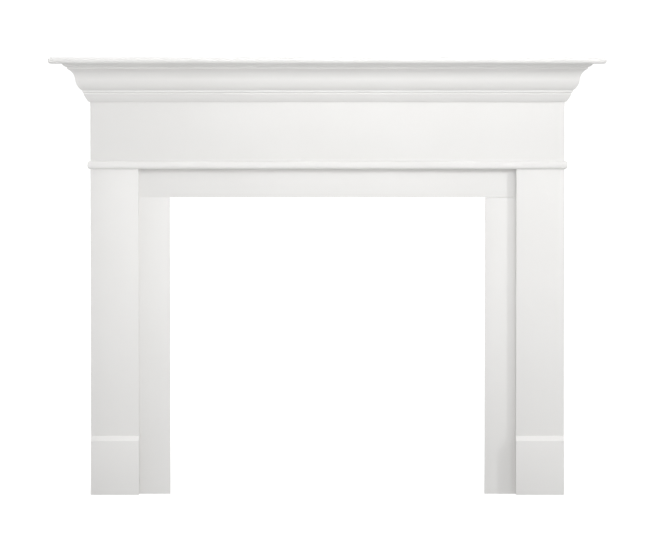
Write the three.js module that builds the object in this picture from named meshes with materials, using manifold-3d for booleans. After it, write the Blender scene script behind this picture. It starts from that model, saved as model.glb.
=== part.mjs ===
// Fireplace mantelpiece built of painted boards and mouldings. Millimetres, +Z up, front towards -Y.
// The origin is on the floor, at the middle of the width and of the depth from shelf nose to wall.
import * as THREE from "three";
import { mergeVertices } from "three/addons/utils/BufferGeometryUtils.js";
import Module from "manifold-3d";

// Boards and overall sizes
const BOARD = 19; // three-quarter inch board, used for all but the shelf
const OPENING_WIDTH = 1219; // clear width between the pilasters, 48 in
const OPENING_HEIGHT = 1067; // floor to the underside of the header, 42 in
const PILASTER_WIDTH = 156;
const BODY_DEPTH = 102; // wall to the face of the pilasters and the frieze
const TOTAL_HEIGHT = 1413.5;

// Shelf
const SHELF_THICKNESS = 20.5;
const SHELF_OVERHANG = 128; // past the frieze, at the front and at both ends
const SHELF_NOSE_RADIUS = 9.8; // nearly a full bullnose

// Crown moulding: u is how far a point stands out from the frieze, v its height above the crown's foot
const CROWN_HEIGHT = 122.7;
const CROWN_REACH = 85.5;
const CROWN_TOE = 4.5; // flat underside at the foot
const CROWN_FOOT_RISE = 24.5; // height of the shallow round at the foot
const CROWN_FOOT_REACH = 20;
const CROWN_FOOT_BULGE = 1.1;
const CROWN_FILLET_RISE = 4.3; // upright fillet above the foot round
const CROWN_STEP_RISE = 3.2; // slope between the two fillets
const CROWN_STEP_REACH = 5;
const CROWN_UPPER_FILLET_RISE = 6.4;
const CROWN_QUIRK = 2.2; // step under the ovolo
const CROWN_OVOLO_TOP = [46, 72.5];
const CROWN_OVOLO_BULGE = 4.1;
const CROWN_COVE_TOP = [68.5, 105.6];
const CROWN_COVE_HOLLOW = 5.2;
const CROWN_NECK_REACH = 70.5; // upright fillet over the cove
const CROWN_NECK_RISE = 6.5;
const CROWN_CAP_BULGE = 2.4;
const CROWN_BACK_FOOT = 24; // height of the land that lies on the frieze
const CROWN_BACK_TOP = 52; // where the land under the shelf begins

// Astragal, the rounded band over the joint of header and legs
const ASTRAGAL_HEIGHT = 27;
const ASTRAGAL_REACH = 9.5;

// Plinth blocks and fillers
const PLINTH_HEIGHT = 191;
const PLINTH_BEVEL = 15.5;
const FILLER_WIDTH = 100.5; // visible width of each filler leg
const FILLER_HEADER_HEIGHT = 105;

// Slack of a mitre, and the steps of one rounded part of a profile
const MITRE_GAP = 0.3;
const ARC_STEPS = 8;

// Derived places
const HALF_OPENING = OPENING_WIDTH / 2;
const HALF_BODY = HALF_OPENING + PILASTER_WIDTH;
const HALF_SHELF = HALF_BODY + SHELF_OVERHANG;
const SHELF_DEPTH = BODY_DEPTH + SHELF_OVERHANG;
const WALL_Y = SHELF_DEPTH / 2;
const FACE_Y = WALL_Y - BODY_DEPTH;
const BEHIND_FACE_Y = FACE_Y + BOARD;
const SHELF_UNDERSIDE = TOTAL_HEIGHT - SHELF_THICKNESS;
const CROWN_FOOT_Z = SHELF_UNDERSIDE - CROWN_HEIGHT;
const ASTRAGAL_FOOT_Z = OPENING_HEIGHT - ASTRAGAL_HEIGHT / 2;

const PAINT = { color: 0xeceae6, roughness: 0.42, metalness: 0 };

const wasm = await Module();
wasm.setup();

// Points after `from` on the arc from one point to another. A positive bulge lies to the right of the way.
function arc(from, to, bulge, steps = ARC_STEPS) {
  const [dx, dy] = [to[0] - from[0], to[1] - from[1]];
  const chord = Math.hypot(dx, dy);
  const radius = (chord * chord) / (8 * Math.abs(bulge)) + Math.abs(bulge) / 2;
  const side = Math.sign(bulge);
  const rise = radius - Math.abs(bulge);
  const centre = [
    (from[0] + to[0]) / 2 - (side * rise * dy) / chord,
    (from[1] + to[1]) / 2 + (side * rise * dx) / chord,
  ];
  const start = Math.atan2(from[1] - centre[1], from[0] - centre[0]);
  const sweep = 2 * side * Math.asin(chord / 2 / radius);
  const points = [];
  for (let i = 1; i <= steps; i += 1) {
    const angle = start + (sweep * i) / steps;
    points.push([centre[0] + radius * Math.cos(angle), centre[1] + radius * Math.sin(angle)]);
  }
  return points;
}

// The bulge of a quarter circle
function quarterBulge(radius) {
  return radius * (1 - Math.SQRT1_2);
}

// Section of the sprung crown, counter-clockwise, with an open triangle left between its back, frieze and shelf
function crownProfile() {
  const footTop = [CROWN_FOOT_REACH, CROWN_FOOT_RISE];
  const filletTop = [CROWN_FOOT_REACH, CROWN_FOOT_RISE + CROWN_FILLET_RISE];
  const stepTop = [filletTop[0] + CROWN_STEP_REACH, filletTop[1] + CROWN_STEP_RISE];
  const upperFilletTop = [stepTop[0], stepTop[1] + CROWN_UPPER_FILLET_RISE];
  const ovoloFoot = [upperFilletTop[0] + CROWN_QUIRK, upperFilletTop[1]];
  const neckFoot = [CROWN_NECK_REACH, CROWN_COVE_TOP[1]];
  const neckTop = [CROWN_NECK_REACH, CROWN_COVE_TOP[1] + CROWN_NECK_RISE];
  return [
    [0, 0],
    [CROWN_TOE, 0],
    ...arc([CROWN_TOE, 0], footTop, CROWN_FOOT_BULGE, 4),
    filletTop,
    stepTop,
    upperFilletTop,
    ovoloFoot,
    ...arc(ovoloFoot, CROWN_OVOLO_TOP, CROWN_OVOLO_BULGE),
    ...arc(CROWN_OVOLO_TOP, CROWN_COVE_TOP, -CROWN_COVE_HOLLOW),
    neckFoot,
    neckTop,
    ...arc(neckTop, [CROWN_REACH, CROWN_HEIGHT], CROWN_CAP_BULGE, 4),
    [CROWN_BACK_TOP, CROWN_HEIGHT],
    [0, CROWN_BACK_FOOT],
  ];
}

function astragalProfile() {
  const bulge = quarterBulge(ASTRAGAL_REACH);
  return [
    [0, 0],
    ...arc([0, 0], [ASTRAGAL_REACH, ASTRAGAL_REACH], bulge),
    [ASTRAGAL_REACH, ASTRAGAL_HEIGHT - ASTRAGAL_REACH],
    ...arc([ASTRAGAL_REACH, ASTRAGAL_HEIGHT - ASTRAGAL_REACH], [0, ASTRAGAL_HEIGHT], bulge),
  ];
}

// Front edge of the shelf in section, u forward from the wall
function shelfProfile(depth) {
  const bulge = quarterBulge(SHELF_NOSE_RADIUS);
  const straight = depth - SHELF_NOSE_RADIUS;
  const shoulder = SHELF_THICKNESS - SHELF_NOSE_RADIUS;
  return [
    [0, 0],
    [straight, 0],
    ...arc([straight, 0], [depth, SHELF_NOSE_RADIUS], bulge),
    [depth, shoulder],
    ...arc([depth, shoulder], [straight, SHELF_THICKNESS], bulge),
    [0, SHELF_THICKNESS],
  ];
}

function plinthProfile() {
  return [
    [0, 0],
    [BOARD, 0],
    [BOARD, PLINTH_HEIGHT - PLINTH_BEVEL],
    [BOARD - PLINTH_BEVEL, PLINTH_HEIGHT],
    [0, PLINTH_HEIGHT],
  ];
}

// A closed body between two rings, which two functions place from the same counter-clockwise section
function loft(section, placeStart, placeEnd) {
  const outline = section.map(([u, v]) => new THREE.Vector2(u, v));
  const rings = [placeStart, placeEnd].map((place) => section.map(([u, v]) => place(u, v)));
  const count = section.length;
  const positions = rings.flat().flat();
  const index = [];
  for (const [a, b, c] of THREE.ShapeUtils.triangulateShape(outline, [])) {
    index.push(a, b, c, count + a, count + c, count + b);
  }
  for (let i = 0; i < count; i += 1) {
    const next = (i + 1) % count;
    index.push(i, count + next, next, i, count + i, count + next);
  }
  const geometry = new THREE.BufferGeometry();
  geometry.setAttribute("position", new THREE.Float32BufferAttribute(positions, 3));
  geometry.setIndex(index);
  return geometry;
}

// A prism along X: u of the section is measured forward from y
function alongX(section, x0, x1, y, z) {
  return loft(
    section,
    (u, v) => [x0, y - u, z + v],
    (u, v) => [x1, y - u, z + v],
  );
}

// The front run of a moulding, mitred at both ends
function mitredFront(section, z) {
  const end = (side) => (u, v) => [side * (HALF_BODY + u - MITRE_GAP / 2), FACE_Y - u, z + v];
  return loft(section, end(-1), end(1));
}

// A return of a moulding, from its mitre to the wall; side is -1 for left and 1 for right
function mitredReturn(section, z, side) {
  const mitre = (u, v) => [side * (HALF_BODY + u), FACE_Y - u + MITRE_GAP / 2, z + v];
  const wall = (u, v) => [side * (HALF_BODY + u), WALL_Y, z + v];
  return side > 0 ? loft(section, mitre, wall) : loft(section, wall, mitre);
}

function solidOf(geometry) {
  const bare = geometry.clone();
  bare.deleteAttribute("normal");
  bare.deleteAttribute("uv");
  const merged = mergeVertices(bare, 1e-4);
  return new wasm.Manifold(
    new wasm.Mesh({
      numProp: 3,
      vertProperties: merged.attributes.position.array,
      triVerts: new Uint32Array(merged.index.array),
    }),
  );
}

function geometryOf(solid) {
  const mesh = solid.getMesh();
  const geometry = new THREE.BufferGeometry();
  geometry.setAttribute("position", new THREE.BufferAttribute(mesh.vertProperties, 3));
  geometry.setIndex(new THREE.BufferAttribute(mesh.triVerts, 1));
  return geometry;
}

// The shelf is a board with its nose run along the front and both ends: two prisms cut by each other
function shelfGeometry() {
  const frontNosed = alongX(shelfProfile(SHELF_DEPTH), -HALF_SHELF, HALF_SHELF, WALL_Y, SHELF_UNDERSIDE);
  const half = shelfProfile(HALF_SHELF).slice(1, -1);
  const mirrored = half.map(([u, v]) => [-u, v]).reverse();
  const endsNosed = loft(
    [...half, ...mirrored],
    (u, v) => [u, WALL_Y - SHELF_DEPTH, SHELF_UNDERSIDE + v],
    (u, v) => [u, WALL_Y, SHELF_UNDERSIDE + v],
  );
  return geometryOf(solidOf(frontNosed).intersect(solidOf(endsNosed)));
}

function paintedMesh(name, geometry) {
  geometry.computeVertexNormals();
  const mesh = new THREE.Mesh(geometry, new THREE.MeshStandardMaterial(PAINT));
  mesh.name = name;
  return mesh;
}

// A plain board between two corners
function board(name, [x0, x1], [y0, y1], [z0, z1]) {
  const mesh = paintedMesh(name, new THREE.BoxGeometry(x1 - x0, y1 - y0, z1 - z0));
  mesh.position.set((x0 + x1) / 2, (y0 + y1) / 2, (z0 + z1) / 2);
  return mesh;
}

// The span of a board on one side of the middle, from its inner and outer distance
function mirroredSpan(side, inner, outer) {
  return side > 0 ? [inner, outer] : [-outer, -inner];
}

function moulding(name, section, z) {
  const group = new THREE.Group();
  group.add(
    paintedMesh(`${name}_front`, mitredFront(section, z)),
    paintedMesh(`${name}_left_return`, mitredReturn(section, z, -1)),
    paintedMesh(`${name}_right_return`, mitredReturn(section, z, 1)),
  );
  return group;
}

function header() {
  const height = [OPENING_HEIGHT, SHELF_UNDERSIDE];
  const depth = [BEHIND_FACE_Y, WALL_Y];
  const group = new THREE.Group();
  group.add(
    paintedMesh("shelf", shelfGeometry()),
    moulding("crown", crownProfile(), CROWN_FOOT_Z),
    board("frieze_board", [-HALF_BODY, HALF_BODY], [FACE_Y, BEHIND_FACE_Y], height),
    board("header_left_end", mirroredSpan(-1, HALF_BODY - BOARD, HALF_BODY), depth, height),
    board("header_right_end", mirroredSpan(1, HALF_BODY - BOARD, HALF_BODY), depth, height),
    board(
      "header_bottom_board",
      [BOARD - HALF_BODY, HALF_BODY - BOARD],
      depth,
      [OPENING_HEIGHT, OPENING_HEIGHT + BOARD],
    ),
    moulding("astragal", astragalProfile(), ASTRAGAL_FOOT_Z),
  );
  return group;
}

// One leg: a face board with a side board behind each of its edges, and a bevelled plinth block in front
function leg(name, side) {
  const height = [0, OPENING_HEIGHT];
  const depth = [BEHIND_FACE_Y, WALL_Y];
  const [x0, x1] = mirroredSpan(side, HALF_OPENING, HALF_BODY);
  const innerSide = mirroredSpan(side, HALF_OPENING, HALF_OPENING + BOARD);
  const outerSide = mirroredSpan(side, HALF_BODY - BOARD, HALF_BODY);
  const group = new THREE.Group();
  group.add(
    board(`${name}_pilaster_face`, [x0, x1], [FACE_Y, BEHIND_FACE_Y], height),
    board(`${name}_pilaster_inner_side`, innerSide, depth, height),
    board(`${name}_pilaster_outer_side`, outerSide, depth, height),
    paintedMesh(`${name}_plinth_block`, alongX(plinthProfile(), x0, x1, FACE_Y, 0)),
  );
  return group;
}

// Flat boards that close the opening down to the fire, flush with the backs of the face boards
function fillers() {
  const depth = [BEHIND_FACE_Y, BEHIND_FACE_Y + BOARD];
  const underHeader = OPENING_HEIGHT - FILLER_HEADER_HEIGHT;
  const inner = HALF_OPENING - FILLER_WIDTH;
  const group = new THREE.Group();
  group.add(
    board("filler_header", [-HALF_OPENING, HALF_OPENING], depth, [underHeader, OPENING_HEIGHT]),
    board("filler_left_leg", mirroredSpan(-1, inner, HALF_OPENING), depth, [0, underHeader]),
    board("filler_right_leg", mirroredSpan(1, inner, HALF_OPENING), depth, [0, underHeader]),
  );
  return group;
}

const mantelpiece = new THREE.Group();
mantelpiece.add(header(), leg("left", -1), leg("right", 1), fillers());

export default mantelpiece;
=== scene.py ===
"""A white-painted board mantelpiece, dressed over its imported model.

Every piece stands in the model's own frame: metres, +Z up, the front towards -Y, the origin on the
floor. Boards take their place and size from the model's nodes. The mouldings are swept along the
front and the returns by a Geometry Nodes tree, from sections drawn with arcs.
"""

from __future__ import annotations

import logging
import math
from collections.abc import Callable, Iterable, Sequence
from dataclasses import dataclass, field
from enum import Enum
from typing import Any

import bmesh
import bpy
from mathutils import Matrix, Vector

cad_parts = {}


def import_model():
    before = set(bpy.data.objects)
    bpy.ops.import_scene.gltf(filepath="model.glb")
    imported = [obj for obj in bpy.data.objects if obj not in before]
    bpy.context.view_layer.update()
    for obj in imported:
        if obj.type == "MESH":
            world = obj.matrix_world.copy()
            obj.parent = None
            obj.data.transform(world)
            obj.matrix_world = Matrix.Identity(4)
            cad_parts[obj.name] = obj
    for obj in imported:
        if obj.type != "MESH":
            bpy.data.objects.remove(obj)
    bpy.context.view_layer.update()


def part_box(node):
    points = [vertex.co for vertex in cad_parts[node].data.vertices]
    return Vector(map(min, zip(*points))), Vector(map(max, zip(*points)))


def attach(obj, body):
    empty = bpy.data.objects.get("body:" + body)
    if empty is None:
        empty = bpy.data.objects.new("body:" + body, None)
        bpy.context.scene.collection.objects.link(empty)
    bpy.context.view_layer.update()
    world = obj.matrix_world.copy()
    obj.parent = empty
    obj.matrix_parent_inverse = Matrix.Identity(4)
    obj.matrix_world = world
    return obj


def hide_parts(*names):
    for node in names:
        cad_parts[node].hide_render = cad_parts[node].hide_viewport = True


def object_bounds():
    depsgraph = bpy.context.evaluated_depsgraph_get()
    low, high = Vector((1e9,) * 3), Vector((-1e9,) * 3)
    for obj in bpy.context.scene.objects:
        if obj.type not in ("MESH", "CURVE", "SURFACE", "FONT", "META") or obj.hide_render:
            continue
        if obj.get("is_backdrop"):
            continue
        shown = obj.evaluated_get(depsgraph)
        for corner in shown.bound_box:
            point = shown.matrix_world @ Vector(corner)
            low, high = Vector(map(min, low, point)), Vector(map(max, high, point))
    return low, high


LOG = logging.getLogger("mantelpiece")

MM = 0.001
BODY = "root"
NOISE_MIDDLE = 0.5
PRIMER_INDEX = 1

Point = tuple[float, float]
Corners = tuple[Vector, Vector]


class Side(Enum):
    """The two sides of the mantelpiece, as seen from the front."""

    LEFT = -1
    RIGHT = 1

    @property
    def word(self) -> str:
        """The side's name as the nodes write it."""
        return self.name.lower()


class Slot(Enum):
    """Names of the pieces' material slots. A board keeps one, but nothing in this script reads it."""

    BOARD = "painted_board"
    MOULDING = "painted_moulding"
    SHELF = "painted_shelf"
    FILLER = "painted_filler"


class Facing(Enum):
    """The way a face of a board looks."""

    BACK = (0.0, 1.0, 0.0)
    LEFT = (-1.0, 0.0, 0.0)
    RIGHT = (1.0, 0.0, 0.0)
    UP = (0.0, 0.0, 1.0)
    DOWN = (0.0, 0.0, -1.0)


class Wire:
    """A node's output that takes part in sums, so that maths on sockets reads as an expression."""

    def __init__(self, graph: "Graph", socket: bpy.types.NodeSocket | None) -> None:
        """Keep the socket and the graph that it belongs to.

        Args:
            graph: The graph whose nodes the sums are added to.
            socket: An output socket, or None for a node that has none.
        """
        self.graph = graph
        self.socket = socket

    def other(self, name: str) -> "Wire":
        """Another output of the same node.

        Args:
            name: The output's name.

        Returns:
            That output.
        """
        return Wire(self.graph, self.socket.node.outputs[name])

    def _sum(self, operation: str, first: Any, second: Any) -> "Wire":
        """Add a Math node on two values.

        Args:
            operation: The Math node's operation.
            first: The first number or wire.
            second: The second number or wire.

        Returns:
            The node's result.
        """
        return self.graph.add("ShaderNodeMath", {"operation": operation}, {0: first, 1: second})

    def __add__(self, other: Any) -> "Wire":
        """The sum of this wire and another value."""
        return self._sum("ADD", self, other)

    __radd__ = __add__

    def __sub__(self, other: Any) -> "Wire":
        """This wire less another value."""
        return self._sum("SUBTRACT", self, other)

    def __rsub__(self, other: Any) -> "Wire":
        """Another value less this wire."""
        return self._sum("SUBTRACT", other, self)

    def __mul__(self, other: Any) -> "Wire":
        """The product of this wire and another value."""
        return self._sum("MULTIPLY", self, other)

    __rmul__ = __mul__


class Graph:
    """A node tree that one method fills."""

    def __init__(self, tree: bpy.types.NodeTree) -> None:
        """Take over a tree and empty it.

        Args:
            tree: A material's, a world's or a modifier's tree.
        """
        self.tree = tree
        self.tree.nodes.clear()

    def add(
        self,
        kind: str,
        settings: dict[str, Any] | None = None,
        inputs: dict[Any, Any] | None = None,
        out: str | int = 0,
    ) -> Wire:
        """Add a node, set it up and feed its sockets.

        Args:
            kind: The node's type.
            settings: The node's own properties, set first.
            inputs: A value or wire for each named or numbered input, or a list of wires for one that
                takes several.
            out: The output that the caller goes on with.

        Returns:
            The chosen output.
        """
        node = self.tree.nodes.new(kind)
        for key, value in (settings or {}).items():
            setattr(node, key, value)
        for key, value in (inputs or {}).items():
            wires = value if isinstance(value, list) else [value]
            for wire in wires:
                if isinstance(wire, Wire):
                    self.tree.links.new(wire.socket, node.inputs[key])
                else:
                    node.inputs[key].default_value = wire
        return Wire(self, node.outputs[out] if node.outputs else None)


class Shader(Graph):
    """A material's graph."""

    def __init__(self, name: str) -> None:
        """Start a material with an empty tree.

        Args:
            name: The material's name.
        """
        self.material = bpy.data.materials.new(name)
        self.material.use_nodes = True
        super().__init__(self.material.node_tree)

    def noise(
        self,
        place: Wire,
        scale: float,
        detail: float = 2.0,
        stretch: Sequence[float] = (1, 1, 1),
    ) -> Wire:
        """Add a noise over the piece.

        Args:
            place: The coordinates it reads.
            scale: Grains per metre.
            detail: Octaves.
            stretch: How much finer the grain is along each axis.

        Returns:
            The noise, about 0.5 on average.
        """
        turned = self.add("ShaderNodeMapping", {}, {"Vector": place, "Scale": tuple(stretch)})
        inputs = {"Vector": turned, "Scale": scale, "Detail": detail}
        return self.add("ShaderNodeTexNoise", {}, inputs, "Fac")

    def mix(self, amount: Wire, first: Sequence[float], second: Sequence[float]) -> Wire:
        """Mix two colours.

        Args:
            amount: 0 for the first colour and 1 for the second.
            first: The first colour.
            second: The second colour.

        Returns:
            The mixed colour.
        """
        node = self.tree.nodes.new("ShaderNodeMix")
        node.data_type = "RGBA"
        self.tree.links.new(amount.socket, node.inputs["Factor"])
        colours = [socket for socket in node.inputs if socket.type == "RGBA"]
        colours[0].default_value = (*first, 1.0)
        colours[1].default_value = (*second, 1.0)
        return Wire(self, next(socket for socket in node.outputs if socket.type == "RGBA"))

    def finish(self, inputs: dict[str, Any]) -> bpy.types.Material:
        """Close the tree with a Principled BSDF.

        Args:
            inputs: A value or wire for each of its sockets.

        Returns:
            The material.
        """
        surface = self.add("ShaderNodeBsdfPrincipled", {}, inputs)
        self.add("ShaderNodeOutputMaterial", {}, {"Surface": surface})
        return self.material


@dataclass(frozen=True)
class SatinPaint:
    """White satin paint laid off along the length of a smooth board."""

    name: str
    grain: tuple[float, float, float]
    colour: tuple[float, float, float] = (0.845, 0.838, 0.825)
    thin_colour: tuple[float, float, float] = (0.825, 0.817, 0.802)
    tone_contrast: float = 2.2
    tone_start: float = 0.6
    roughness: float = 0.42
    drift_roughness: float = 0.12
    brush_roughness: float = 0.08
    drift_per_metre: float = 3.1
    peel_per_metre: float = 520.0
    brush_per_metre: float = 26.0
    brush_fineness: float = 30.0
    peel_height: float = 0.5
    brush_height: float = 0.25
    relief: float = 0.03 * MM
    relief_strength: float = 0.6

    def build(self) -> bpy.types.Material:
        """Make the material.

        Returns:
            A material with a drift of tone, an orange-peel skin and faint brush lines.
        """
        shader = Shader(self.name)
        place = shader.add("ShaderNodeTexCoord", {}, {}, "Object")
        across = [1.0 if along else self.brush_fineness for along in self.grain]
        drift = shader.noise(place, self.drift_per_metre, 3.0)
        peel = shader.noise(place, self.peel_per_metre, 1.0)
        brush = shader.noise(place, self.brush_per_metre, 2.0, across)
        height = peel * self.peel_height + brush * self.brush_height
        relief = {"Strength": self.relief_strength, "Distance": self.relief, "Height": height}
        bump = shader.add("ShaderNodeBump", {}, relief, "Normal")
        spread = drift * self.tone_contrast - self.tone_start
        tone = shader.add("ShaderNodeClamp", {}, {"Value": spread})
        patches = (drift - NOISE_MIDDLE) * self.drift_roughness
        lines = (brush - NOISE_MIDDLE) * self.brush_roughness
        return shader.finish(
            {
                "Base Color": shader.mix(tone, self.colour, self.thin_colour),
                "Roughness": self.roughness + patches + lines,
                "Normal": bump,
            }
        )


@dataclass(frozen=True)
class PrimedBoard:
    """Board that has only its primer, on the sides that face the wall."""

    name: str = "primed_board"
    colour: tuple[float, float, float] = (0.66, 0.645, 0.61)
    thin_colour: tuple[float, float, float] = (0.56, 0.53, 0.47)
    cloud_contrast: float = 1.6
    fibre_contrast: float = 0.9
    tone_start: float = 0.75
    roughness: float = 0.78
    fibre_roughness: float = 0.15
    fibre_per_metre: float = 340.0
    cloud_per_metre: float = 7.0
    relief: float = 0.15 * MM
    relief_strength: float = 0.5

    def build(self) -> bpy.types.Material:
        """Make the material.

        Returns:
            A dull, slightly patchy off-white with the board's fibres showing through.
        """
        shader = Shader(self.name)
        place = shader.add("ShaderNodeTexCoord", {}, {}, "Object")
        fibre = shader.noise(place, self.fibre_per_metre, 3.0)
        cloud = shader.noise(place, self.cloud_per_metre, 4.0)
        spread = cloud * self.cloud_contrast + fibre * self.fibre_contrast - self.tone_start
        tone = shader.add("ShaderNodeClamp", {}, {"Value": spread})
        relief = {"Strength": self.relief_strength, "Distance": self.relief, "Height": fibre}
        bump = shader.add("ShaderNodeBump", {}, relief, "Normal")
        return shader.finish(
            {
                "Base Color": shader.mix(tone, self.colour, self.thin_colour),
                "Roughness": self.roughness + (fibre - NOISE_MIDDLE) * self.fibre_roughness,
                "Normal": bump,
            }
        )


@dataclass
class Finishes:
    """The paint and primer, each made once."""

    along_x: bpy.types.Material = field(init=False)
    along_y: bpy.types.Material = field(init=False)
    along_z: bpy.types.Material = field(init=False)
    primer: bpy.types.Material = field(init=False)

    def __post_init__(self) -> None:
        """Make the materials."""
        self.along_x = SatinPaint("satin_paint_along_x", (1, 0, 0)).build()
        self.along_y = SatinPaint("satin_paint_along_y", (0, 1, 0)).build()
        self.along_z = SatinPaint("satin_paint_along_z", (0, 0, 1)).build()
        self.primer = PrimedBoard().build()

    def for_length(self, size: Vector) -> bpy.types.Material:
        """The paint whose brush lines run along a piece's longest side."""
        longest = max(range(3), key=lambda axis: size[axis])
        return (self.along_x, self.along_y, self.along_z)[longest]


@dataclass
class Section:
    """A section drawn as a closed counter-clockwise outline: u stands out from the face, v goes up."""

    points: list[Point] = field(default_factory=list)

    def to(self, *corners: Point) -> "Section":
        """Go on in straight lines to some corners."""
        self.points.extend(corners)
        return self

    def arc(self, end: Point, bulge: float, steps: int = 10) -> "Section":
        """Go on along an arc.

        Args:
            end: Where the arc ends.
            bulge: How far it swells to the right of the straight way, or to the left if negative.
            steps: Facets of the arc.

        Returns:
            The section itself.
        """
        start = Vector(self.points[-1])
        chord = Vector(end) - start
        radius = chord.length_squared / (8 * abs(bulge)) + abs(bulge) / 2
        turn = math.copysign(1.0, bulge)
        aside = Vector((-chord.y, chord.x)).normalized() * turn * (radius - abs(bulge))
        centre = start + chord / 2 + aside
        spoke = start - centre
        sweep = 2 * turn * math.asin(min(1.0, chord.length / 2 / radius))
        for step in range(1, steps + 1):
            angle = sweep * step / steps
            cos, sin = math.cos(angle), math.sin(angle)
            turned = Vector((spoke.x * cos - spoke.y * sin, spoke.x * sin + spoke.y * cos))
            self.points.append(tuple(centre + turned))
        return self

    def quarter(self, end: Point, radius: float, steps: int = 10) -> "Section":
        """Go on along an outward quarter circle."""
        return self.arc(end, radius * (1 - math.sqrt(0.5)), steps)

    def eased(
        self,
        radius: float,
        steps: int = 3,
        least_turn: float = 24.0,
        most_of_side: float = 0.45,
    ) -> "Section":
        """Round the section's sharp corners, as sanding and paint do.

        Args:
            radius: The rounding's radius.
            steps: Facets of each rounding.
            least_turn: Corners that turn by less than this, in degrees, stay.
            most_of_side: The most of a side that a rounding takes.

        Returns:
            A new section.
        """
        soft: list[Point] = []
        count = len(self.points)
        for index, point in enumerate(self.points):
            here = Vector(point)
            back = Vector(self.points[index - 1]) - here
            ahead = Vector(self.points[(index + 1) % count]) - here
            turn = math.pi - back.angle(ahead)
            if math.degrees(turn) < least_turn:
                soft.append(point)
                continue
            room = min(back.length, ahead.length) * most_of_side
            reach = min(radius * math.tan(turn / 2), room)
            first = here + back.normalized() * reach
            last = here + ahead.normalized() * reach
            for step in range(steps + 1):
                way = step / steps
                soft.append(tuple(first.lerp(here, way).lerp(here.lerp(last, way), way)))
        return Section(soft)

    def scaled(self, factor: float) -> "Section":
        """The section in other units."""
        return Section([(u * factor, v * factor) for u, v in self.points])


class RunTree(Graph):
    """A Geometry Nodes tree that sweeps a section along a straight run and mitres its ends.

    The object's own mesh is the section, one flat face at the start of the run, whose point
    attribute `reach` says how far each point stands out from the face of the mantelpiece.
    """

    NAME = "mitred_run"
    REACH = "reach"
    WELD = 1e-6

    def __init__(self) -> None:
        """Build the tree."""
        super().__init__(bpy.data.node_groups.new(self.NAME, "GeometryNodeTree"))
        self.inputs: dict[str, str] = {}
        self._declare()
        self._wire()

    def _declare(self) -> None:
        """Name the tree's inputs and output."""
        face = self.tree.interface
        face.new_socket("Geometry", in_out="INPUT", socket_type="NodeSocketGeometry")
        face.new_socket("Geometry", in_out="OUTPUT", socket_type="NodeSocketGeometry")
        for name in ("Run", "Start Mitre", "End Mitre"):
            socket = face.new_socket(name, in_out="INPUT", socket_type="NodeSocketVector")
            self.inputs[name] = socket.identifier
        paint = face.new_socket("Paint", in_out="INPUT", socket_type="NodeSocketMaterial")
        self.inputs["Paint"] = paint.identifier

    def _shifted(self, geometry: Wire, mitre: Wire, selection: Wire | None = None) -> Wire:
        """Slide points by their reach times a mitre vector.

        Args:
            geometry: The geometry to slide.
            mitre: The slide for one metre of reach.
            selection: The points to slide, or None for all.

        Returns:
            The geometry with its points moved.
        """
        named = {"data_type": "FLOAT"}
        reach = self.add("GeometryNodeInputNamedAttribute", named, {"Name": self.REACH}, "Attribute")
        slide = self.add("ShaderNodeVectorMath", {"operation": "SCALE"}, {0: mitre, "Scale": reach})
        inputs = {"Geometry": geometry, "Offset": slide}
        if selection is not None:
            inputs["Selection"] = selection
        return self.add("GeometryNodeSetPosition", {}, inputs)

    def _wire(self) -> None:
        """Lay the tree's nodes: mitre the start, extrude, mitre the end, close, paint."""
        given = self.add("NodeGroupInput", {}, {}, "Geometry")
        start = self._shifted(given, given.other("Start Mitre"))
        cap = self.add("GeometryNodeFlipFaces", {}, {"Mesh": start})
        grown = self.add(
            "GeometryNodeExtrudeMesh",
            {"mode": "FACES"},
            {"Mesh": start, "Offset": given.other("Run"), "Individual": False},
            "Mesh",
        )
        change = self.add(
            "ShaderNodeVectorMath",
            {"operation": "SUBTRACT"},
            {0: given.other("End Mitre"), 1: given.other("Start Mitre")},
        )
        end = self._shifted(grown, change, grown.other("Top"))
        joined = self.add("GeometryNodeJoinGeometry", {}, {0: [cap, end]})
        welded = self.add("GeometryNodeMergeByDistance", {}, {"Geometry": joined, "Distance": self.WELD})
        real = self.add("GeometryNodeRealizeInstances", {}, {"Geometry": welded})
        paint = {"Geometry": real, "Material": given.other("Paint")}
        self.add("NodeGroupOutput", {}, {0: self.add("GeometryNodeSetMaterial", {}, paint)})

    def sweep(
        self,
        name: str,
        section: Section,
        place: Callable[[float, float], tuple[float, float, float]],
        run: Vector,
        mitres: tuple[Vector, Vector],
        paint: bpy.types.Material,
    ) -> bpy.types.Object:
        """Sweep a section and make the result a plain mesh.

        Args:
            name: The piece's name.
            section: The section, in metres.
            place: Where a point (u, v) of the section stands at the start of the run.
            run: The way from start to end.
            mitres: The slide for each metre of reach at the start and at the end.
            paint: The finish.

        Returns:
            The finished piece.
        """
        seed = bpy.data.meshes.new(f"{name}_section")
        corners = [place(u, v) for u, v in section.points]
        seed.from_pydata(corners, [], [list(range(len(corners)))])
        reach = seed.attributes.new(self.REACH, "FLOAT", "POINT")
        reach.data.foreach_set("value", [u for u, _ in section.points])
        maker = bpy.data.objects.new(f"{name}_maker", seed)
        bpy.context.scene.collection.objects.link(maker)
        modifier = maker.modifiers.new("run", "NODES")
        modifier.node_group = self.tree
        modifier[self.inputs["Run"]] = run
        modifier[self.inputs["Start Mitre"]] = mitres[0]
        modifier[self.inputs["End Mitre"]] = mitres[1]
        modifier[self.inputs["Paint"]] = paint
        graph = bpy.context.evaluated_depsgraph_get()
        mesh = bpy.data.meshes.new_from_object(maker.evaluated_get(graph), depsgraph=graph)
        maker.modifiers.remove(modifier)
        bpy.data.objects.remove(maker)
        bpy.data.meshes.remove(seed)
        bm = bmesh.new()
        bm.from_mesh(mesh)
        return piece_from(bm, name, [paint], mesh)


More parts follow.
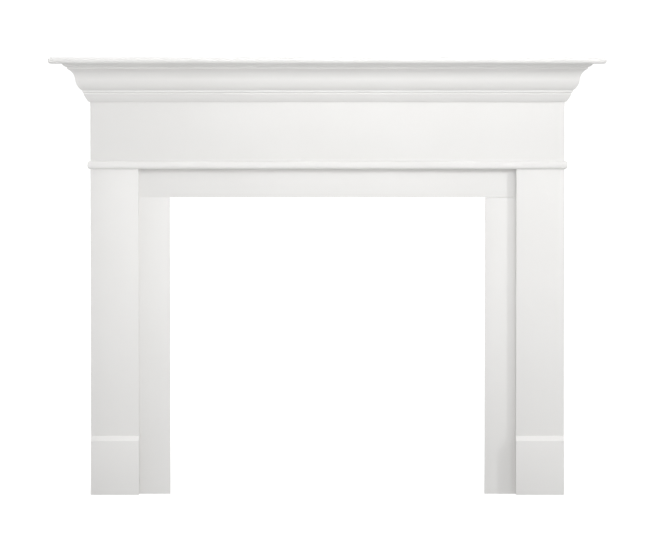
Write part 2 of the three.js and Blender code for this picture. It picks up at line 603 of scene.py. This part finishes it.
def piece_from(
    bm: bmesh.types.BMesh,
    name: str,
    paints: Iterable[bpy.types.Material],
    mesh: bpy.types.Mesh | None = None,
    smooth_under: float = 28.0,
) -> bpy.types.Object:
    """Turn a bmesh into a linked object with outward faces and smooth rounds.

    Args:
        bm: The shape, which this frees.
        name: The piece's name.
        paints: The materials, in the order of the faces' indices.
        mesh: A mesh to write into, or None for a new one.
        smooth_under: Edges that turn by less than this, in degrees, are shaded smooth.

    Returns:
        The object, at the origin.
    """
    bmesh.ops.recalc_face_normals(bm, faces=bm.faces)
    mesh = mesh or bpy.data.meshes.new(name)
    bm.to_mesh(mesh)
    bm.free()
    mesh.name = name
    mesh.materials.clear()
    for paint in paints:
        mesh.materials.append(paint)
    mesh.shade_smooth()
    mesh.set_sharp_from_angle(angle=math.radians(smooth_under))
    piece = bpy.data.objects.new(name, mesh)
    bpy.context.scene.collection.objects.link(piece)
    return piece


def ease_edges(
    bm: bmesh.types.BMesh,
    radius: float,
    segments: int = 3,
    least_turn: float = 25.0,
) -> None:
    """Round a shape's sharp edges.

    Args:
        bm: The shape.
        radius: The rounding's radius.
        segments: Facets of each rounding.
        least_turn: Edges that turn by less than this, in degrees, stay.
    """
    least = math.radians(least_turn)
    sharp = [edge for edge in bm.edges if edge.is_manifold and edge.calc_face_angle() > least]
    bmesh.ops.bevel(
        bm,
        geom=sharp,
        offset=radius,
        offset_type="OFFSET",
        segments=segments,
        profile=0.5,
        affect="EDGES",
        clamp_overlap=True,
    )


def install(piece: bpy.types.Object, node: str) -> bpy.types.Object:
    """Put a piece in the place of its node.

    Args:
        piece: The finished piece.
        node: The model's node that it stands for.

    Returns:
        The piece.
    """
    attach(piece, BODY)
    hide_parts(node)
    LOG.info("%s: %d faces", piece.name, len(piece.data.polygons))
    return piece


@dataclass
class Board:
    """A plain board with eased edges, the size of its node."""

    node: str
    finishes: Finishes
    slot: Slot = Slot.BOARD
    primed: tuple[Facing, ...] = (Facing.BACK,)
    ease: float = 1.0 * MM
    lowered_top: float = 0.0

    def corners(self) -> Corners:
        """The board's lowest and highest corner."""
        low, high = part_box(self.node)
        return Vector(low), Vector(high) - Vector((0, 0, self.lowered_top))

    def build(self) -> bpy.types.Object:
        """Make the board and put it in its node's place.

        Returns:
            The piece.
        """
        low, high = self.corners()
        bm = bmesh.new()
        bmesh.ops.create_cube(bm, size=1.0)
        bmesh.ops.scale(bm, vec=high - low, verts=bm.verts)
        bmesh.ops.translate(bm, vec=(low + high) / 2, verts=bm.verts)
        ease_edges(bm, self.ease)
        bm.normal_update()
        self.prime(bm, self.primed)
        paints = [self.finishes.for_length(high - low), self.finishes.primer]
        return install(piece_from(bm, f"{self.node}_board", paints), self.node)

    @staticmethod
    def prime(bm: bmesh.types.BMesh, primed: Iterable[Facing], alike: float = 0.9) -> None:
        """Give the faces that look some ways the second material.

        Args:
            bm: The shape, with its normals up to date.
            primed: The ways that stay in primer.
            alike: The least cosine between a face's normal and such a way.
        """
        ways = [Vector(facing.value) for facing in primed]
        for face in bm.faces:
            if any(face.normal.dot(way) > alike for way in ways):
                face.material_index = PRIMER_INDEX


@dataclass
class Shelf:
    """The mantel shelf: a board with a bullnose run along its front and both ends."""

    finishes: Finishes
    nose_radius: float = 9.8 * MM
    corner_radius: float = 4.0 * MM
    least_corner_radius: float = 0.02 * MM
    nose_steps: int = 12
    corner_steps: int = 5
    node: str = "shelf"

    def _nose(self, thickness: float) -> list[Point]:
        """The nose in section, from underneath to the top.

        Args:
            thickness: The board's thickness.

        Returns:
            Pairs of the distance in from the edge and the height above the underside.
        """
        radius = self.nose_radius
        section = Section([(-radius, 0.0)])
        section.quarter((0.0, radius), radius, self.nose_steps)
        section.to((0.0, thickness - radius))
        section.quarter((-radius, thickness), radius, self.nose_steps)
        return [(-u, v) for u, v in section.points]

    def _ring(self, low: Vector, high: Vector, inset: float, z: float) -> list[Vector]:
        """The shelf's outline at one height, from the wall round the front to the wall.

        Args:
            low: The shelf's lowest corner.
            high: Its highest corner.
            inset: How far in from the edge the outline lies.
            z: The height above the underside.

        Returns:
            The outline's points.
        """
        half, front = high.x - inset, low.y + inset
        radius = max(self.corner_radius - inset, self.least_corner_radius)
        ring = [Vector((half, high.y, low.z + z))]
        for step in range(self.corner_steps + 1):
            angle = math.pi / 2 * step / self.corner_steps
            x = half - radius + radius * math.cos(angle)
            ring.append(Vector((x, front + radius - radius * math.sin(angle), low.z + z)))
        return ring + [Vector((-point.x, point.y, point.z)) for point in reversed(ring)]

    def build(self) -> bpy.types.Object:
        """Make the shelf and put it in its node's place.

        Returns:
            The piece.
        """
        low, high = map(Vector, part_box(self.node))
        bm = bmesh.new()
        rings = [
            [bm.verts.new(point) for point in self._ring(low, high, inset, z)]
            for inset, z in self._nose(high.z - low.z)
        ]
        for lower, upper in zip(rings, rings[1:]):
            for index in range(len(lower) - 1):
                bm.faces.new((lower[index], upper[index], upper[index + 1], lower[index + 1]))
        bm.faces.new(rings[0])
        bm.faces.new(rings[-1])
        bm.faces.new([ring[0] for ring in rings] + [ring[-1] for ring in reversed(rings)])
        bmesh.ops.recalc_face_normals(bm, faces=bm.faces)
        Board.prime(bm, [Facing.BACK])
        paints = [self.finishes.along_x, self.finishes.primer]
        return install(piece_from(bm, "shelf_board", paints), self.node)


class CrownSection:
    """The sprung crown moulding's section, from foot to shelf, in millimetres."""

    HEIGHT = 122.7
    REACH = 85.5
    TOE = 4.5
    FOOT_TOP = (20.0, 24.5)
    FOOT_BULGE = 1.1
    FILLET_RISE = 4.3
    STEP_REACH = 5.0
    STEP_RISE = 3.2
    UPPER_FILLET_RISE = 6.4
    QUIRK = 2.2
    OVOLO_TOP = (46.0, 72.5)
    OVOLO_BULGE = 4.1
    COVE_TOP = (68.5, 105.6)
    COVE_HOLLOW = 5.2
    NECK_REACH = 70.5
    NECK_RISE = 6.5
    CAP_BULGE = 2.4
    BACK_TOP = 52.0
    BACK_FOOT = 24.0
    EASE = 0.45
    SMALL_ARC_STEPS = 8
    LARGE_ARC_STEPS = 18

    @classmethod
    def draw(cls) -> Section:
        """Draw the section.

        Returns:
            The section in metres, its arrises softened by paint.
        """
        fillet_top = (cls.FOOT_TOP[0], cls.FOOT_TOP[1] + cls.FILLET_RISE)
        step_top = (fillet_top[0] + cls.STEP_REACH, fillet_top[1] + cls.STEP_RISE)
        upper_top = (step_top[0], step_top[1] + cls.UPPER_FILLET_RISE)
        neck_top = (cls.NECK_REACH, cls.COVE_TOP[1] + cls.NECK_RISE)
        section = Section([(0.0, 0.0), (cls.TOE, 0.0)])
        section.arc(cls.FOOT_TOP, cls.FOOT_BULGE, cls.SMALL_ARC_STEPS)
        section.to(fillet_top, step_top, upper_top, (upper_top[0] + cls.QUIRK, upper_top[1]))
        section.arc(cls.OVOLO_TOP, cls.OVOLO_BULGE, cls.LARGE_ARC_STEPS)
        section.arc(cls.COVE_TOP, -cls.COVE_HOLLOW, cls.LARGE_ARC_STEPS)
        section.to((cls.NECK_REACH, cls.COVE_TOP[1]), neck_top)
        section.arc((cls.REACH, cls.HEIGHT), cls.CAP_BULGE, cls.SMALL_ARC_STEPS)
        section.to((cls.BACK_TOP, cls.HEIGHT), (0.0, cls.BACK_FOOT))
        return section.eased(cls.EASE).scaled(MM)


class AstragalSection:
    """The rounded band's section, in millimetres."""

    HEIGHT = 27.0
    REACH = 9.5
    ARC_STEPS = 10

    @classmethod
    def draw(cls) -> Section:
        """Draw the section.

        Returns:
            The section in metres.
        """
        section = Section([(0.0, 0.0)])
        section.quarter((cls.REACH, cls.REACH), cls.REACH, cls.ARC_STEPS)
        section.to((cls.REACH, cls.HEIGHT - cls.REACH))
        section.quarter((0.0, cls.HEIGHT), cls.REACH, cls.ARC_STEPS)
        return section.scaled(MM)


@dataclass
class Moulding:
    """A moulding that wraps the header: a front run and two returns, mitred at the corners."""

    name: str
    section: Section
    tree: RunTree
    finishes: Finishes
    mitre_slack: float = 0.05 * MM

    def _body(self) -> tuple[float, float, float]:
        """The header's half width, the y of its face and the y of the wall."""
        low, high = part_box("frieze_board")
        return high[0], low[1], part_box("header_left_end")[1][1]

    def build(self) -> list[bpy.types.Object]:
        """Make the three runs and put them in their nodes' places.

        Returns:
            The pieces.
        """
        half, face_y, wall_y = self._body()
        foot_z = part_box(f"{self.name}_front")[0][2]
        end_x = half - self.mitre_slack
        front = self.tree.sweep(
            f"{self.name}_front_run",
            self.section,
            lambda u, v: (-end_x, face_y - u, foot_z + v),
            Vector((2 * end_x, 0, 0)),
            (Vector((-1, 0, 0)), Vector((1, 0, 0))),
            self.finishes.along_x,
        )
        pieces = [install(front, f"{self.name}_front")]
        for side in Side:
            pieces.append(self._return(side, half, face_y + self.mitre_slack, wall_y, foot_z))
        return pieces

    def _return(
        self,
        side: Side,
        half: float,
        face_y: float,
        wall_y: float,
        foot_z: float,
    ) -> bpy.types.Object:
        """Make one return, from the wall to its mitre.

        Args:
            side: The side.
            half: The header's half width.
            face_y: Where the mitre begins, at the header's face.
            wall_y: The wall.
            foot_z: The moulding's foot.

        Returns:
            The piece.
        """
        run = self.tree.sweep(
            f"{self.name}_{side.word}_run",
            self.section,
            lambda u, v: (side.value * (half + u), wall_y, foot_z + v),
            Vector((0, face_y - wall_y, 0)),
            (Vector((0, 0, 0)), Vector((0, -1, 0))),
            self.finishes.along_y,
        )
        return install(run, f"{self.name}_{side.word}_return")


@dataclass
class Header:
    """The header: shelf, crown, frieze, end boards, bottom board and astragal."""

    finishes: Finishes
    tree: RunTree

    def build(self) -> None:
        """Make the header's pieces."""
        Shelf(self.finishes).build()
        Moulding("crown", CrownSection.draw(), self.tree, self.finishes).build()
        Moulding("astragal", AstragalSection.draw(), self.tree, self.finishes).build()
        Board("frieze_board", self.finishes).build()
        Board("header_bottom_board", self.finishes, primed=(Facing.BACK, Facing.UP)).build()
        for side, inside in ((Side.LEFT, Facing.RIGHT), (Side.RIGHT, Facing.LEFT)):
            Board(f"header_{side.word}_end", self.finishes, primed=(Facing.BACK, inside)).build()


@dataclass
class Leg:
    """One leg: a pilaster of three boards and its plinth block."""

    side: Side
    finishes: Finishes
    face_ease: float = 1.4 * MM
    plinth_bevel: float = 15.5 * MM
    plinth_ease: float = 0.8 * MM

    def build(self) -> None:
        """Make the leg's pieces."""
        hollow_of_outer = Facing.RIGHT if self.side is Side.LEFT else Facing.LEFT
        hollow_of_inner = Facing.LEFT if self.side is Side.LEFT else Facing.RIGHT
        stem = f"{self.side.word}_pilaster"
        feet = (Facing.BACK, Facing.DOWN)
        Board(f"{stem}_face", self.finishes, primed=feet, ease=self.face_ease).build()
        Board(f"{stem}_outer_side", self.finishes, primed=(*feet, hollow_of_outer)).build()
        Board(f"{stem}_inner_side", self.finishes, primed=(*feet, hollow_of_inner)).build()
        self._plinth()

    def _plinth(self) -> bpy.types.Object:
        """Make the plinth block, bevelled along its top.

        Returns:
            The piece.
        """
        node = f"{self.side.word}_plinth_block"
        low, high = map(Vector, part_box(node))
        outline = [
            (high.y, low.z),
            (low.y, low.z),
            (low.y, high.z - self.plinth_bevel),
            (low.y + self.plinth_bevel, high.z),
            (high.y, high.z),
        ]
        bm = bmesh.new()
        start = bm.faces.new([bm.verts.new((low.x, y, z)) for y, z in outline])
        grown = bmesh.ops.extrude_face_region(bm, geom=[start], use_keep_orig=True)
        moved = [item for item in grown["geom"] if isinstance(item, bmesh.types.BMVert)]
        bmesh.ops.translate(bm, vec=(high.x - low.x, 0, 0), verts=moved)
        bmesh.ops.recalc_face_normals(bm, faces=bm.faces)
        ease_edges(bm, self.plinth_ease)
        bm.normal_update()
        Board.prime(bm, [Facing.DOWN, Facing.BACK])
        paints = [self.finishes.along_z, self.finishes.primer]
        return install(piece_from(bm, f"{node}_piece", paints), node)


@dataclass
class InnerSurround:
    """The flat filler boards between the legs. The right leg's top joint shows as an open hairline."""

    finishes: Finishes
    ease: float = 0.4 * MM
    open_joint: float = 0.8 * MM

    def build(self) -> None:
        """Make the fillers."""
        Board("filler_header", self.finishes, Slot.FILLER, ease=self.ease).build()
        Board("filler_left_leg", self.finishes, Slot.FILLER, ease=self.ease).build()
        Board(
            "filler_right_leg",
            self.finishes,
            Slot.FILLER,
            ease=self.ease,
            lowered_top=self.open_joint,
        ).build()


@dataclass
class PaleFloor:
    """A plain white floor that runs into the background.

    It takes the mantelpiece's soft shadow but throws no light back: that comes from the sky. Away
    from the lamps it glows a little more, so that it stays evenly white.
    """

    half_width: float = 150.0
    colour: tuple[float, float, float] = (0.90, 0.90, 0.90)
    roughness: float = 0.9
    gloss: float = 0.1
    near_glow: float = 0.28
    far_glow: float = 0.70
    near: float = 0.5
    far: float = 5.0
    pool: tuple[float, float, float] = (0.2, -2.5, 0.0)

    def build(self) -> bpy.types.Object:
        """Lay the floor.

        Returns:
            The floor.
        """
        shader = Shader("pale_floor")
        place = shader.add("ShaderNodeTexCoord", {}, {}, "Object")
        span = {0: place, 1: self.pool}
        away = shader.add("ShaderNodeVectorMath", {"operation": "DISTANCE"}, span, "Value")
        glow = shader.add(
            "ShaderNodeMapRange",
            {},
            {
                "Value": away,
                "From Min": self.near,
                "From Max": self.far,
                "To Min": self.near_glow,
                "To Max": self.far_glow,
            },
        )
        paint = shader.finish(
            {
                "Base Color": (*self.colour, 1.0),
                "Roughness": self.roughness,
                "Specular IOR Level": self.gloss,
                "Emission Color": glow,
                "Emission Strength": 1.0,
            }
        )
        bm = bmesh.new()
        bmesh.ops.create_grid(bm, x_segments=1, y_segments=1, size=self.half_width)
        floor = piece_from(bm, "pale_floor", [paint])
        floor.visible_diffuse = False
        floor.visible_glossy = False
        floor.visible_shadow = False
        floor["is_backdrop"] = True
        return floor


@dataclass(frozen=True)
class SoftLamp:
    """A square soft lamp that the camera doesn't see."""

    name: str
    place: tuple[float, float, float]
    aim: tuple[float, float, float]
    size: float
    watts: float
    spread: float = 180.0

    def hang(self) -> bpy.types.Object:
        """Hang the lamp.

        Returns:
            The lamp.
        """
        light = bpy.data.lights.new(self.name, "AREA")
        light.size = self.size
        light.energy = self.watts
        light.spread = math.radians(self.spread)
        lamp = bpy.data.objects.new(self.name, light)
        lamp.location = self.place
        aim = Vector(self.aim) - Vector(self.place)
        lamp.rotation_euler = aim.to_track_quat("-Z", "Y").to_euler()
        lamp.visible_camera = False
        bpy.context.scene.collection.objects.link(lamp)
        return lamp


@dataclass
class SoftStudio:
    """Soft white light: a sky that gives more from above, and four lamps, the key from the right."""

    above: float = 0.72
    below: float = 0.61
    backdrop: float = 1.15
    horizon: float = 0.25
    lamps: tuple[SoftLamp, ...] = (
        SoftLamp("key_from_right", (3.4, -1.8, 2.1), (0.0, 0.0, 0.7), 0.2, 32.5),
        SoftLamp("spot_from_right", (2.0, -3.2, 2.85), (0.0, 0.0, 1.3), 0.6, 1.9, 50.0),
        SoftLamp("fill_from_above", (0.0, -1.0, 5.0), (0.0, -0.1, 0.0), 1.2, 27.0),
        SoftLamp("fill_from_front", (0.0, -4.5, 1.7), (-0.2, 0.0, 1.5), 2.0, 3.5, 46.0),
    )

    def build(self) -> None:
        """Set the sky and hang the lamps."""
        self._sky()
        for lamp in self.lamps:
            lamp.hang()
        view = bpy.context.scene.view_settings
        view.view_transform = "Standard"
        view.look = "None"

    def _sky(self) -> None:
        """A sky that looks white all round and gives more light from above."""
        world = bpy.data.worlds.new("white_sky")
        bpy.context.scene.world = world
        world.use_nodes = True
        sky = Graph(world.node_tree)
        way = sky.add("ShaderNodeTexCoord", {}, {}, "Generated")
        glow = sky.add(
            "ShaderNodeMapRange",
            {"interpolation_type": "SMOOTHSTEP"},
            {
                "Value": sky.add("ShaderNodeSeparateXYZ", {}, {"Vector": way}, "Z"),
                "From Min": -self.horizon,
                "From Max": self.horizon,
                "To Min": self.below,
                "To Max": self.above,
            },
        )
        seen = sky.add("ShaderNodeLightPath", {}, {}, "Is Camera Ray")
        strength = glow + seen * (self.backdrop - glow)
        colour = (1.0, 1.0, 1.0, 1.0)
        light = sky.add("ShaderNodeBackground", {}, {"Color": colour, "Strength": strength})
        sky.add("ShaderNodeOutputWorld", {}, {"Surface": light})


@dataclass
class PhotoCamera:
    """The photograph's view: square on to the front, the eye level with the shelf.

    The eye stands far back, so that a slight tilt brings the floor into the frame and the uprights
    still look parallel.
    """

    frame_width: float = 650.0
    frame_height: float = 550.0
    eye_row: float = 70.0
    middle_column: float = 327.45
    foot_row: float = 495.06
    pixels_per_metre: float = 309.55
    distance: float = 14.0
    sensor: float = 36.0
    farthest: float = 400.0
    rounds: int = 12

    def _aim(self, face_y: float, foot_y: float, middle_z: float) -> tuple[float, float, float]:
        """Find the view that puts the eye level and the feet on their rows of the photograph.

        Args:
            face_y: The frieze's face, at the camera's distance.
            foot_y: The plinth blocks' face.
            middle_z: The height at which the photograph's scale holds.

        Returns:
            The eye's height, the tilt in radians and the focal length in pixels.
        """
        eye_z = tilt = 0.0
        focal = self.pixels_per_metre * self.distance
        foot_distance = self.distance + foot_y - face_y
        for _ in range(self.rounds):
            tilt = math.atan((self.frame_height / 2 - self.eye_row) / focal)
            foot_slope = math.tan(tilt + math.atan((self.foot_row - self.frame_height / 2) / focal))
            eye_z = foot_distance * foot_slope
            depth = self.distance * math.cos(tilt) + (eye_z - middle_z) * math.sin(tilt)
            focal = self.pixels_per_metre * depth
        return eye_z, tilt, focal

    def build(self) -> bpy.types.Object:
        """Set up the camera.

        Returns:
            The camera.
        """
        face_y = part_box("frieze_board")[0][1]
        foot_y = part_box("left_plinth_block")[0][1]
        eye_z, tilt, focal = self._aim(face_y, foot_y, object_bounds()[1].z / 2)
        data = bpy.data.cameras.new("photo_camera")
        data.sensor_width = self.sensor
        data.lens = focal * self.sensor / self.frame_width
        data.clip_end = self.farthest
        camera = bpy.data.objects.new("photo_camera", data)
        aside = (self.frame_width / 2 - self.middle_column) / self.pixels_per_metre
        camera.location = (aside, face_y - self.distance, eye_z)
        camera.rotation_euler = (math.pi / 2 - tilt, 0.0, 0.0)
        bpy.context.scene.collection.objects.link(camera)
        bpy.context.scene.camera = camera
        return camera


def main() -> None:
    """Build the dressed mantelpiece and its studio."""
    logging.basicConfig(level=logging.INFO, format="%(message)s")
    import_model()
    PhotoCamera().build()
    finishes = Finishes()
    Header(finishes, RunTree()).build()
    for side in Side:
        Leg(side, finishes).build()
    InnerSurround(finishes).build()
    PaleFloor().build()
    SoftStudio().build()


if __name__ == "__main__":
    main()
